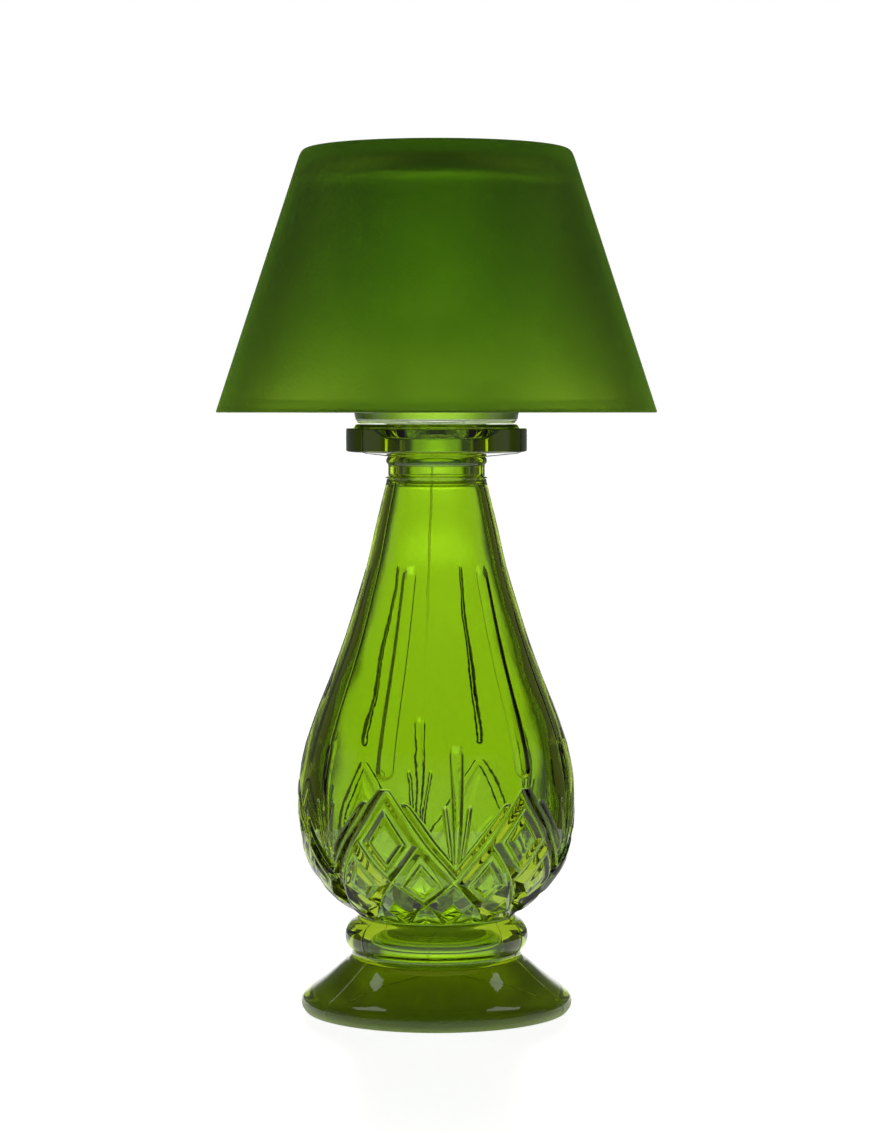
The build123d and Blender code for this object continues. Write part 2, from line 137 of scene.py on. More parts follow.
def turned_mesh(name, outline, columns, carve):
    """A closed surface of revolution. Both ends of the outline lie on the axis.
    carve(angle, inner, along) says how far, in mm, each point is pushed into the material; inner is
    the outline without its two ends, and along is the distance along it."""
    inner = outline[1:-1]
    tangent = np.gradient(inner, axis=0)
    tangent /= np.linalg.norm(tangent, axis=1)[:, None]
    normal = np.stack([tangent[:, 1], -tangent[:, 0]], axis=1)
    along = np.concatenate([[0], np.cumsum(np.linalg.norm(np.diff(inner, axis=0), axis=1))])
    angle = np.arange(columns) * 2 * math.pi / columns
    depth = carve(np.degrees(angle)[None, :], inner, along)
    radius = inner[:, :1] - depth * normal[:, :1]
    height = inner[:, 1:] - depth * normal[:, 1:]
    x = radius * np.sin(angle)
    y = -radius * np.cos(angle)
    ring = np.stack([x, y, height], axis=2).reshape(-1, 3)
    poles = np.array([[0, 0, outline[0, 1]], [0, 0, outline[-1, 1]]])
    vertices = np.vstack([ring, poles]) * MM
    rows = len(inner)
    column = np.arange(columns)
    after = (column + 1) % columns
    base = np.arange(rows - 1)[:, None] * columns
    quads = np.stack([base + column, base + after, base + columns + after, base + columns + column],
                     axis=2).reshape(-1, 4)
    bottom, top = rows * columns, rows * columns + 1
    last = (rows - 1) * columns
    caps = np.vstack([np.stack([after, column, np.full(columns, bottom)], axis=1),
                      np.stack([last + column, last + after, np.full(columns, top)], axis=1)])
    return mesh_object(name, vertices, quads, caps)


def mesh_object(name, vertices, quads, triangles):
    """A smooth-shaded object from arrays of vertices, quads and triangles."""
    mesh = bpy.data.meshes.new(name)
    loops = np.concatenate([quads.ravel(), triangles.ravel()])
    sizes = np.concatenate([np.full(len(quads), 4), np.full(len(triangles), 3)])
    mesh.vertices.add(len(vertices))
    mesh.vertices.foreach_set("co", vertices.ravel())
    mesh.loops.add(len(loops))
    mesh.loops.foreach_set("vertex_index", loops)
    mesh.polygons.add(len(sizes))
    mesh.polygons.foreach_set("loop_start", np.concatenate([[0], np.cumsum(sizes)[:-1]]))
    mesh.polygons.foreach_set("loop_total", sizes)
    mesh.update(calc_edges=True)
    mesh.validate()
    mesh.shade_smooth()
    piece = bpy.data.objects.new(name, mesh)
    bpy.context.collection.objects.link(piece)
    return piece


def wobble(angle, height, seed, waves):
    """A smooth, repeating unevenness between about -1 and 1, as blown glass has."""
    rng = np.random.default_rng(seed)
    total = np.zeros(np.broadcast(angle, height).shape)
    for _ in range(waves):
        around = rng.integers(1, 9)
        pitch = rng.uniform(12.0, 45.0)
        phase = rng.uniform(0, 2 * math.pi, 2)
        round_axis = np.sin(np.radians(angle) * around + phase[0])
        total += round_axis * np.sin(2 * math.pi * height / pitch + phase[1])
    return total / math.sqrt(waves)


# ---------------------------------------------------------------- the green base

REPEAT = 60.0                   # degrees: the cut pattern repeats six times
PEAK = -21.5                    # degrees: a long flute, and the gable under it
SEAMS = (-53.0, 67.0, 187.0)    # degrees: the three mould seams
SEAM_HALF_WIDTH = 0.45          # mm
SEAM_HEIGHT = 0.2
GABLE_TOP = 72.8                # height of the gables' peaks
LATTICE_CROSSING = 44.0         # height where the gables' lines cross between two peaks
LATTICE_ZONE = (30.0, 100.0)    # heights that the lattice's lines are worked out for
LINE_LEAN = 0.80                # sine of the lines' angle to the level
LINE_WAVER = 0.6                # degrees
BORDER_GAP = 3.3                # mm between a gable's edge and the middle of the extra line above it
BORDER_START = 5.0              # degrees gone round from the peak, where that extra line starts
SECOND_LINE = 4.4               # mm between a crossing line and the shallower line inside it
BACK_HALF = 75.0                # degrees from the valley in front; past this the pattern is weaker,
BACK_SHARE = 0.35               # because little of it shows through the belly
PATTERN_FOOT = 31.0             # height of the waist, where the pattern ends
BELOW_BEADS = 165.0             # height of the neck's upper end
TURN_SEED, PEAK_SEED, INSIDE_SEED, OUTSIDE_SEED, CUP_SEED, SHADE_SEED = 51, 52, 4, 11, 21, 33


def base_outline():
    """Punt, foot, ring, belly, neck, flange, socket, bore and cavity, from axis to axis."""
    under = smooth([(0, 3.6), (12.0, 3.25), (24.0, 2.1), (33.0, 0.55), (35.5, 0.0)], 1.6,
                   start=(1, 0))
    foot = joined(
        eased([(35.0, 0.05), (35.6, 0.0), (40.3, 0.0), (41.2, 0.25)], 0.6, 0.6),
        smooth([(41.2, 0.25), (42.25, 1.6), (42.6, 3.4), (42.1, 5.2), (40.4, 6.9), (37.7, 8.8),
                (33.1, 12.3), (29.8, 15.2), (28.4, 16.4)], 0.35),
        smooth([(28.4, 16.4), (27.1, 17.4), (26.7, 18.6), (27.1, 19.7), (27.9, 20.6)], 0.18),
    )
    ring = arc((27.9, 20.6), (28.85, 23.9), (27.7, 27.5), 0.25)
    waist = smooth([(27.7, 27.5), (26.4, 28.9), (25.0, 29.8), (24.6, 30.4), (25.4, 31.2),
                    (27.2, 32.3)], 0.2)
    belly = smooth([(27.2, 32.3), (30.6, 34.7), (34.2, 38.0), (37.8, 42.5), (40.5, 47.2),
                    (42.0, 51.9), (43.2, 58.5), (43.6, 66.0), (43.2, 74.8), (41.2, 84.9)], 0.38)
    flank = smooth([(41.2, 84.9), (38.0, 94.2), (34.2, 103.7), (30.6, 113.1), (27.4, 122.5),
                    (24.5, 131.9), (21.8, 141.3), (19.8, 150.2), (17.4, 160.0), (15.9, 166.2)],
                   1.1, start=(-0.33, 1))
    neck = joined(
        eased([(15.9, 166.2), (15.65, 167.35), (16.15, 167.7), (16.1, 167.95), (15.2, 168.5),
               (15.2, 171.4), (15.4, 171.9)], 0.3, 0.35),
        arc((15.4, 171.9), (15.9, 173.1), (15.3, 174.4), 0.25),
    )
    flange = eased([(15.3, 174.4), (27.3, 175.55), (28.5, 176.0), (28.5, 183.0), (28.1, 183.3),
                    (26.0, 183.3), (25.3, 184.55), (16.6, 184.55), (16.0, 184.2), (10.8, 180.1),
                    (10.7, 166.3), (12.9, 166.3), (13.5, 165.5)], 0.55, 0.9)
    cavity = joined(
        smooth([(13.5, 165.5), (14.8, 159.0), (16.4, 151.0), (22.1, 127.2), (29.4, 103.7),
                (35.4, 84.9), (37.6, 66.0), (36.0, 51.9), (30.4, 41.0), (22.4, 31.0), (21.6, 22.0),
                (21.2, 14.5)], 2.0),
        smooth([(21.2, 14.5), (20.4, 11.8), (17.5, 10.0), (9.0, 9.1), (0, 9.0)], 0.9, end=(-1, 0)),
    )
    return joined(under, foot, ring, waist, belly, flank, neck, flange, cavity)


def near(angle, centre, period=360.0):
    """Signed distance in degrees from the nearest repeat of a centre."""
    return (angle - centre + period / 2) % period - period / 2


def trench(distance, half_width, depth, edge, crease):
    """A cut with steep sides, and a nearly flat floor that deepens to a crease in the middle."""
    inside = half_width - np.abs(distance)
    wall = np.clip(inside / edge, 0, 1)
    wall = wall * wall * (3 - 2 * wall)
    floor = np.clip(inside / half_width, 0, 1)
    return depth * wall * (1 - crease + crease * floor)


def vee(distance, half_width, depth):
    """A cut with two straight slopes."""
    return depth * np.clip(1 - np.abs(distance) / half_width, 0, 1)


def ridge(distance, half_width, height):
    """A low rounded ridge."""
    u = np.clip(np.abs(distance) / half_width, 0, 1)
    return height * (1 - u * u) ** 2


def flute(across, height, bottom, top, low_half, high_half, depth, edge, crease=0.25):
    """A long upright cut with round ends. It goes from one half width at the bottom to another at
    the top, and is half as deep there."""
    share = np.clip((height - bottom) / (top - bottom), 0, 1)
    half = low_half + (high_half - low_half) * share
    end = np.maximum(bottom + low_half - height, 0) + np.maximum(height - top + high_half, 0)
    return trench(np.hypot(across, end), half, depth, edge, crease) * (1 - 0.5 * share)


def lattice_turn(inner, along):
    """How far round, in degrees, a lattice line has gone on its way down from the peak."""
    radius, height = inner[:, 0], inner[:, 1]
    outside = (height > LATTICE_ZONE[0]) & (height < LATTICE_ZONE[1]) & (radius > 24.0)
    outer = np.where(outside & (np.arange(len(height)) < np.argmax(height)))[0]
    turn = np.full(len(height), -1e3)
    peak = outer[np.argmin(np.abs(height[outer] - GABLE_TOP))]
    lean = np.sqrt(1 - LINE_LEAN ** 2) / LINE_LEAN
    step = np.gradient(along[outer]) / radius[outer]
    total = np.cumsum(step)
    total = (total[np.where(outer == peak)[0][0]] - total) * lean
    crossing = np.interp(LATTICE_CROSSING, height[outer], total)
    turn[outer] = total / crossing * REPEAT / 2
    return turn


def long_flutes(angle, height, arc_mm, back):
    """Depth of the six long flutes over the gables, slimmer on the back half."""
    across = near(angle, PEAK, REPEAT) * arc_mm
    wide = flute(across, height, bottom=77.0, top=140.0, low_half=2.9, high_half=2.3,
                 depth=1.1, edge=0.6)
    slim = flute(across, height, bottom=77.5, top=139.0, low_half=1.5, high_half=0.8,
                 depth=1.5, edge=1.1)
    return np.where(back, slim, wide)


def short_flutes(angle, height, arc_mm):
    """Depth of the fan of three flutes in each valley between two gables."""
    valley_off = near(angle, PEAK + REPEAT / 2, REPEAT)
    fan = flute(valley_off * arc_mm, height, bottom=48.5, top=87.0, low_half=1.0, high_half=2.3,
                depth=1.4, edge=0.6, crease=0.4)
    for side in (-1, 1):
        lean = valley_off - side * (2.2 + 0.17 * (height - 52.0))
        leaning = flute(lean * arc_mm, height, bottom=51.0, top=69.5, low_half=0.9, high_half=0.9,
                        depth=1.0, edge=0.7, crease=0.5)
        fan = np.maximum(fan, leaning)
    return fan


def gable_lines(angle, inner, along, arc_mm, back):
    """Depth of the gables' crossing lines, the lines and facets inside them, and the extra line
    above each gable."""
    height = inner[:, 1:]
    turn = lattice_turn(inner, along)[:, None] + LINE_WAVER * wobble(angle, height, TURN_SEED, 12)
    to_peak = np.abs(near(angle, PEAK, REPEAT) + LINE_WAVER * wobble(angle, height, PEAK_SEED, 12))
    below = to_peak <= turn
    cell = REPEAT / 2
    scale = arc_mm * LINE_LEAN
    fall = (angle - PEAK - turn) / cell
    rise = (angle - PEAK + turn) / cell
    nest = np.minimum(np.abs(fall - np.round(fall)) * cell * scale,
                      np.abs(rise - np.round(rise)) * cell * scale)
    from_gable = (to_peak - turn) * scale
    main = trench(np.where(turn < cell, from_gable, nest),
                  half_width=1.9, depth=2.3, edge=0.95, crease=0.3)
    facet = np.clip((turn - 0.75 * cell) / (0.5 * cell), 0, 1)
    first = np.where(below, vee(nest, 2.1 + 1.6 * facet, 1.6 + 1.2 * facet), 0)
    second = np.where(below, vee(nest - SECOND_LINE, 1.3, 1.15) * (1 - facet), 0)
    start = np.minimum((turn - BORDER_START) * scale, 0)
    border = trench(np.hypot(from_gable - BORDER_GAP, start),
                    half_width=1.3, depth=1.6, edge=0.85, crease=0.3) * (turn < cell)
    lines = np.maximum.reduce([main * (turn > -0.5), np.maximum(first, second), border * ~back])
    return lines * np.where(back, BACK_SHARE, 1) * (turn > -20)


def base_carving(angle, inner, along):
    """Depth of all that is cut into the base's outside or stands on it, and the waves of both
    sides."""
    radius, height = inner[:, :1], inner[:, 1:]
    outer = np.arange(len(inner))[:, None] <= np.argmax(height)
    arc_mm = np.radians(1) * radius
    back = np.abs(near(angle, PEAK + REPEAT / 2)) > BACK_HALF
    lattice = np.maximum(gable_lines(angle, inner, along, arc_mm, back) * outer,
                         short_flutes(angle, height, arc_mm))
    above_waist = np.clip((height - PATTERN_FOOT) / 2.5, 0, 1)
    depth = np.maximum(long_flutes(angle, height, arc_mm, back), lattice * above_waist)
    seam = np.zeros_like(depth)
    for azimuth in SEAMS:
        seam += ridge(near(angle, azimuth) * arc_mm, SEAM_HALF_WIDTH, SEAM_HEIGHT)
    on_wall = outer & (height > 1.0) & (height < 183.0)
    depth = np.where(on_wall, depth - seam, 0)
    cavity = (~outer) & (height < BELOW_BEADS)
    flank = outer & (height > PATTERN_FOOT) & (height < BELOW_BEADS)
    inside = 0.12 * wobble(angle, height, INSIDE_SEED, 9) * np.clip((radius - 14) / 20, 0.15, 1)
    outside = 0.03 * wobble(angle, height, OUTSIDE_SEED, 7) * flank
    return depth + np.where(cavity, inside, 0) + outside


def green_base():
    piece = turned_mesh("base_glass", base_outline(), 960, base_carving)
    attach(piece, "base")
    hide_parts("glass_base")
    piece.data.materials.append(green_glass())
    return piece


# ---------------------------------------------------------------- the clear cup and the shade

def clear_cup():
    outline = joined(
        eased([(0, 172.05), (8.8, 172.05), (9.85, 173.0), (9.85, 180.6), (15.1, 184.3),
               (15.6, 184.65), (24.6, 184.65), (25.5, 185.7), (26.0, 188.2), (26.0, 262.2)],
              0.9, 0.7),
        smooth([(26.0, 262.2), (26.0, 264.5), (25.5, 265.7), (24.7, 266.13), (23.9, 265.7),
                (23.4, 264.5), (23.4, 262.2)], 0.25, start=(0, 1), end=(0, -1)),
        eased([(23.4, 262.2), (23.4, 192.6), (22.0, 191.0), (20.0, 190.8), (0, 190.8)], 1.2, 1.2),
    )
    piece = turned_mesh("cup_glass", outline, 160, cup_unevenness)
    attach(piece, "cup")
    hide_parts("glass_cup")
    piece.data.materials.append(clear_glass())
    return piece


def cup_unevenness(angle, inner, along):
    """Slight waves in the cup's wall, none where it meets the base, the shade or the light."""
    height = inner[:, 1:]
    free = np.clip((height - 192) / 6, 0, 1) * np.clip((262 - height) / 6, 0, 1)
    return 0.04 * wobble(angle, height, CUP_SEED, 6) * free


SHADE_BOTTOM, SHADE_TOP = (corner[2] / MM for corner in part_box("glass_shade"))
SHADE_BOTTOM_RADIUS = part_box("glass_shade")[1][0] / MM
SHADE_TOP_RADIUS = 42.05        # of the cone, if it ran on up to the top
SHADE_SLOPE = (SHADE_TOP_RADIUS - SHADE_BOTTOM_RADIUS) / (SHADE_TOP - SHADE_BOTTOM)
SHADE_CEILING = 266.25          # height of the inside
SHADE_SHOULDER = 266.1          # height where the outside starts to round over
SHADE_FLAT = 37.0               # radius of the flat top
SHADE_WALL = 3.7
LEDGE_WALL = 1.4                # the wall is thinner above the ledge, close under the ceiling
LEDGE_TOP, LEDGE_FOOT = 260.2, 253.5


def shade_radius(height):
    return SHADE_BOTTOM_RADIUS + SHADE_SLOPE * (height - SHADE_BOTTOM)


def satin_shade():
    """The shade, with a collar under its ceiling that centres it on the cup, and a ledge inside
    its wall that catches the light as a streak near the top."""
    ceiling, rim, wide, top = SHADE_CEILING, SHADE_BOTTOM, SHADE_BOTTOM_RADIUS, SHADE_TOP
    ledge = ((LEDGE_TOP, LEDGE_WALL), (259.7, 1.7), (258.7, 2.7), (257.6, 3.3), (256.0, 3.6),
             (LEDGE_FOOT, SHADE_WALL))
    outline = joined(
        eased([(0, ceiling), (27.6, ceiling), (27.65, 263.6), (28.0, 263.4), (30.6, 263.4),
               (31.0, 263.7), (31.0, ceiling), (35.1, ceiling)], 0.5, 0.6),
        smooth([(35.1, ceiling), (38.3, 265.5), (40.9, 263.7), (42.6, 261.9),
                (shade_radius(LEDGE_TOP) - LEDGE_WALL, LEDGE_TOP)],
               0.5, start=(1, 0), end=(-SHADE_SLOPE, -1)),
        smooth([(shade_radius(height) - wall, height) for height, wall in ledge], 0.2),
        eased([(shade_radius(LEDGE_FOOT) - SHADE_WALL, LEDGE_FOOT),
               (shade_radius(rim + 3) - SHADE_WALL, rim + 3), (wide - 2.7, rim), (wide - 0.3, rim),
               (wide, rim + 0.3), (shade_radius(SHADE_SHOULDER), SHADE_SHOULDER)], 0.35, 1.4),
        smooth([(shade_radius(SHADE_SHOULDER), SHADE_SHOULDER), (42.75, 268.1), (41.8, 269.6),
                (39.9, 270.33), (SHADE_FLAT, top)], 0.3, start=(SHADE_SLOPE, 1), end=(-1, 0)),
        straight((SHADE_FLAT, top), (0, top), 2.0),
    )
    piece = turned_mesh("shade_glass", outline, 256, shade_unevenness)
    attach(piece, "shade")
    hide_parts("glass_shade")
    piece.data.materials.append(satin_glass())
    return piece


def shade_unevenness(angle, inner, along):
    """Slight waves on the shade's inside; the outside stays true."""
    radius, height = inner[:, :1], inner[:, 1:]
    inside = (np.arange(len(inner))[:, None] < np.argmin(inner[:, 1])) & (radius > 34)
    return 0.08 * wobble(angle, height, SHADE_SEED, 7) * inside


# ---------------------------------------------------------------- materials
# Places in the materials are in metres.

GLASS_IOR = 1.5
GREEN_TINT = (0.46, 0.635, 0.10)
GREEN_TINT_DEEP = (0.445, 0.615, 0.09)
GREEN_COLOUR = (0.825, 0.85, 0.0)
GREEN_DENSITY = 100.0           # per metre
GROUND_ROUGHNESS = 0.45         # of the ground underside of the foot
GROUND_TOP = (0.0037, 0.0042)   # the heights over which the ground surface ends,
GROUND_RIM = (0.0424, 0.0430)   # and the radii
CLEAR_COLOUR = (0.75, 0.95, 0.8)
CLEAR_DENSITY = 6.0
SATIN_IOR = 1.45
SATIN_SPECULAR = 0.4
# The shade's tint is painted light: lighter at the rim, darker at the top.
SATIN_TINT = (0.44, 0.69, 0.055)            # at the shade's rim
SATIN_TINT_SHADED_TOP = (0.335, 0.535, 0.033)     # at its top, darker: painted shade
SATIN_SHADING_HEIGHTS = (0.188, 0.245)              # the height over which one becomes the other
SATIN_COLOUR = (0.75, 0.85, 0.1)
SATIN_DENSITY = 110.0
ETCH_ROUGHNESS = 0.78
ETCH_SKIN = (0.0010, 0.0022)    # the depth below the cone over which the etched outside ends
ETCH_TOP = (0.2660, 0.2680)     # the height above which all is outside
PAINTED_GLOW_COLOUR = (0.85, 1.0, 0.6, 1)            # painted glow of the clear plastics, though no lamp is lit


def new_material(name):
    """An empty node material with a Principled shader; returns it, its tree and the shader."""
    material = bpy.data.materials.new(name)
    material.use_nodes = True
    tree = material.node_tree
    tree.nodes.clear()
    shader = tree.nodes.new("ShaderNodeBsdfPrincipled")
    output = tree.nodes.new("ShaderNodeOutputMaterial")
    tree.links.new(shader.outputs["BSDF"], output.inputs["Surface"])
    return material, tree, shader


def coordinates(tree, scale=(1, 1, 1)):
    """Object coordinates in metres, scaled."""
    source = tree.nodes.new("ShaderNodeTexCoord")
    mapping = tree.nodes.new("ShaderNodeMapping")
    mapping.inputs["Scale"].default_value = scale
    tree.links.new(source.outputs["Object"], mapping.inputs["Vector"])
    return mapping.outputs["Vector"]


def maths(tree, operation, *values):
    """The result of one calculation on numbers or other nodes' results."""
    node = tree.nodes.new("ShaderNodeMath")
    node.operation = operation
    for socket, value in zip(node.inputs, values):
        if isinstance(value, (int, float)):
            socket.default_value = value
        else:
            tree.links.new(value, socket)
    return node.outputs["Value"]


def map_range(tree, value, source, target, kind):
    """The value, moved from the source's range to the target's."""
    node = tree.nodes.new("ShaderNodeMapRange")
    node.interpolation_type = kind
    for socket, number in zip(("From Min", "From Max", "To Min", "To Max"), (*source, *target)):
        node.inputs[socket].default_value = number
    tree.links.new(value, node.inputs["Value"])
    return node.outputs["Result"]


def fade(tree, value, edge, near_level, far_level=0.0):
    """A number that eases from one level to another as the value crosses the edge."""
    return map_range(tree, value, edge, (near_level, far_level), "SMOOTHSTEP")


def angle_fade(tree, value, edge, near_level):
    """The same for an angle in radians, with the edge in degrees, fading to nothing."""
    return fade(tree, value, [math.radians(angle) for angle in edge], near_level)


def distance_out(tree):
    """How far a point is from the vertical axis, and its height, in metres."""
    place = tree.nodes.new("ShaderNodeSeparateXYZ")
    tree.links.new(coordinates(tree), place.inputs["Vector"])
    x, y, z = (place.outputs[axis] for axis in "XYZ")
    squares = maths(tree, "ADD", maths(tree, "MULTIPLY", x, x), maths(tree, "MULTIPLY", y, y))
    return maths(tree, "SQRT", squares), z


def noise(tree, scale, detail=3.0, stretch=(1, 1, 1)):
    """A cloudy pattern; a stretch below 1 draws it out along that axis."""
    texture = tree.nodes.new("ShaderNodeTexNoise")
    texture.inputs["Scale"].default_value = scale
    texture.inputs["Detail"].default_value = detail
    tree.links.new(coordinates(tree, stretch), texture.inputs["Vector"])
    return texture.outputs["Fac"]


def between(tree, factor, low, high, start=0.3, end=0.7):
    """A number that runs from low to high as the factor runs from start to end."""
    return map_range(tree, factor, (start, end), (low, high), "LINEAR")


def blend_colours(tree, factor, low, high):
    """A colour that goes from low to high as the factor goes from 0 to 1."""
    mix = tree.nodes.new("ShaderNodeMix")
    mix.data_type = "RGBA"
    mix.inputs["A"].default_value = (*low, 1)
    mix.inputs["B"].default_value = (*high, 1)
    tree.links.new(factor, mix.inputs["Factor"])
    return mix.outputs["Result"]


def bump(tree, shader, height, strength, distance):
    """Gives the shader's surface a fine relief; the distance is in metres."""
    node = tree.nodes.new("ShaderNodeBump")
    node.inputs["Strength"].default_value = strength
    node.inputs["Distance"].default_value = distance
    tree.links.new(height, node.inputs["Height"])
    tree.links.new(node.outputs["Normal"], shader.inputs["Normal"])


def absorb(tree, colour, density):
    """Coloured glass darkens with its thickness: the volume inside it absorbs light."""
    volume = tree.nodes.new("ShaderNodeVolumeAbsorption")
    volume.inputs["Color"].default_value = (*colour, 1)
    volume.inputs["Density"].default_value = density
    output = next(n for n in tree.nodes if n.type == "OUTPUT_MATERIAL")
    tree.links.new(volume.outputs["Volume"], output.inputs["Volume"])


def glass_shader(shader, ior):
    """Makes the shader glass with this index of refraction."""
    shader.inputs["Transmission Weight"].default_value = 1.0
    shader.inputs["IOR"].default_value = ior


def green_glass():
    """Fire-polished yellow-green glass: clear, with faint cords, a slightly uneven polish and a
    ground underside."""
    material, tree, shader = new_material("green_glass")
    cords = noise(tree, 60, 2, (1, 1, 0.25))
    tree.links.new(blend_colours(tree, cords, GREEN_TINT, GREEN_TINT_DEEP),
                   shader.inputs["Base Color"])
    out, z = distance_out(tree)
    ground = maths(tree, "MULTIPLY", fade(tree, z, GROUND_TOP, GROUND_ROUGHNESS),
                   fade(tree, out, GROUND_RIM, 1.0))
    polish = between(tree, noise(tree, 45), 0.0, 0.02)
    tree.links.new(maths(tree, "ADD", polish, ground), shader.inputs["Roughness"])
    glass_shader(shader, GLASS_IOR)
    bump(tree, shader, noise(tree, 220, 2), 0.12, 0.0002)
    absorb(tree, GREEN_COLOUR, GREEN_DENSITY)
    return material


def clear_glass():
    """Clear glass with a very faint green tint and a slightly uneven polish."""
    material, tree, shader = new_material("clear_glass")
    tree.links.new(blend_colours(tree, noise(tree, 40), (0.97, 1.0, 0.98), (1, 1, 1)),
                   shader.inputs["Base Color"])
    tree.links.new(between(tree, noise(tree, 55), 0.0, 0.02), shader.inputs["Roughness"])
    glass_shader(shader, GLASS_IOR)
    bump(tree, shader, noise(tree, 160, 2), 0.1, 0.0002)
    absorb(tree, CLEAR_COLOUR, CLEAR_DENSITY)
    return material


def satin_glass():
    """Green glass with an acid-etched outside that blurs what is behind it, and a smooth inside.
    Its tint is lighter toward the rim and darker toward the top: painted light for the shade's
    brighter lower part."""
    material, tree, shader = new_material("green_satin_glass")
    etch = noise(tree, 900, 4)
    out, z = distance_out(tree)
    # painted light: the tint darkens with height
    shaded_toward_top = fade(tree, z, SATIN_SHADING_HEIGHTS, 0.0, 1.0)
    tree.links.new(blend_colours(tree, shaded_toward_top, SATIN_TINT, SATIN_TINT_SHADED_TOP),
                   shader.inputs["Base Color"])
    cone_at_zero = (SHADE_BOTTOM_RADIUS - SHADE_SLOPE * SHADE_BOTTOM) * MM
    cone = maths(tree, "MULTIPLY_ADD", z, SHADE_SLOPE, cone_at_zero)
    inward = maths(tree, "SUBTRACT", cone, out)
    outside = maths(tree, "MAXIMUM", fade(tree, inward, ETCH_SKIN, 1.0),
                    fade(tree, z, ETCH_TOP, 0.0, 1.0))
    etched = between(tree, noise(tree, 70), ETCH_ROUGHNESS - 0.04, ETCH_ROUGHNESS + 0.04)
    smooth_side = between(tree, noise(tree, 50), 0.04, 0.12)
    mix = tree.nodes.new("ShaderNodeMix")
    for socket, source in (("Factor", outside), ("A", smooth_side), ("B", etched)):
        tree.links.new(source, mix.inputs[socket])
    tree.links.new(mix.outputs["Result"], shader.inputs["Roughness"])
    glass_shader(shader, SATIN_IOR)
    shader.inputs["Specular IOR Level"].default_value = SATIN_SPECULAR
    bump(tree, shader, etch, 0.25, 0.0002)
    absorb(tree, SATIN_COLOUR, SATIN_DENSITY)
    return material


def plastic(name, low, high, roughness, grain, transmission=0.0, glow=0.0):
    """Moulded plastic: a faint mottle, a fine grain and a slightly uneven gloss. The clear pieces
    have a faint painted glow, though no lamp is lit, so that they don't show as a dark patch through
    the shade."""
    material, tree, shader = new_material(name)
    tree.links.new(blend_colours(tree, noise(tree, 240), low, high), shader.inputs["Base Color"])
    tree.links.new(between(tree, noise(tree, 500), roughness - 0.05, roughness + 0.05),
                   shader.inputs["Roughness"])
    shader.inputs["Transmission Weight"].default_value = transmission
    shader.inputs["Emission Color"].default_value = PAINTED_GLOW_COLOUR
    # painted light: the clear plastics glow faintly though no lamp is lit
    shader.inputs["Emission Strength"].default_value = glow
    bump(tree, shader, noise(tree, 2600, 2), grain, 0.0001)
    return material


def metal(name, low, high, roughness, stretch):
    """Plated metal with fine drawn lines."""
    material, tree, shader = new_material(name)
    lines = noise(tree, 1500, 2, stretch)
    tree.links.new(blend_colours(tree, lines, low, high), shader.inputs["Base Color"])
    tree.links.new(between(tree, lines, roughness - 0.08, roughness + 0.08),
                   shader.inputs["Roughness"])
    shader.inputs["Metallic"].default_value = 1.0
    bump(tree, shader, lines, 0.15, 0.00005)
    return material


def board_material():
    """Green solder mask over copper tracks."""
    material, tree, shader = new_material("board_laminate")
    bricks = tree.nodes.new("ShaderNodeTexBrick")
    bricks.inputs["Scale"].default_value = 320
    bricks.inputs["Mortar Size"].default_value = 0.06
    bricks.inputs["Color1"].default_value = (0.02, 0.12, 0.035, 1)
    bricks.inputs["Color2"].default_value = (0.025, 0.15, 0.045, 1)
    bricks.inputs["Mortar"].default_value = (0.05, 0.24, 0.07, 1)
    tree.links.new(coordinates(tree), bricks.inputs["Vector"])
    tree.links.new(bricks.outputs["Color"], shader.inputs["Base Color"])
    tree.links.new(between(tree, noise(tree, 700), 0.28, 0.4), shader.inputs["Roughness"])
    bump(tree, shader, bricks.outputs["Fac"], 0.3, 0.00004)
    return material


def dress_light():
    """Gives each piece of the battery light its material."""
    level, upright = (1, 1, 0.05), (1, 0.05, 1)
    contact = metal("contact_steel", (0.66, 0.60, 0.44), (0.76, 0.71, 0.56), 0.3, upright)
    # The glow values on the clear plastics are painted light, not a lit lamp.
    looks = {
        "light_housing": plastic("frosted_plastic", (0.95, 0.95, 0.93), (0.99, 0.99, 0.98),
                                 0.06, 0.1, transmission=1.0, glow=0.08),
        "base_cap": plastic("cap_plastic", (0.94, 0.94, 0.92), (0.98, 0.98, 0.97),
                            0.06, 0.1, transmission=1.0, glow=0.08),
        "flame_lens": plastic("diffuser_plastic", (0.95, 0.94, 0.90), (0.99, 0.98, 0.95),
                              0.12, 0.1, transmission=1.0, glow=0.03),
        "led_lamp": plastic("lamp_epoxy", (0.92, 0.80, 0.40), (0.96, 0.86, 0.48),
                            0.1, 0.02, transmission=0.8),
        "led_leads": metal("tinned_steel", (0.60, 0.60, 0.58), (0.72, 0.72, 0.70), 0.3, level),
        "circuit_board": board_material(),
        "chip_resistor": plastic("resistor_ceramic", (0.02, 0.02, 0.025), (0.04, 0.04, 0.045),
                                 0.5, 0.3),
        "switch_body": metal("switch_steel", (0.50, 0.50, 0.50), (0.66, 0.66, 0.66), 0.35, upright),
        "switch_knob": plastic("knob_plastic", (0.018, 0.018, 0.02), (0.03, 0.03, 0.032), 0.5, 0.3),
        "coin_cell": metal("cell_steel", (0.60, 0.60, 0.61), (0.74, 0.74, 0.76), 0.3, level),
        "battery_tray": plastic("tray_plastic", (0.88, 0.88, 0.85), (0.94, 0.94, 0.92),
                                0.12, 0.1, transmission=1.0, glow=0.06),
        "positive_contact": contact,
        "negative_contact": contact,
        "housing_screws": metal("screw_steel", (0.42, 0.42, 0.44), (0.56, 0.56, 0.58), 0.34, level),
    }
    for node, material in looks.items():
        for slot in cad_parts[node].material_slots:
            slot.material = material


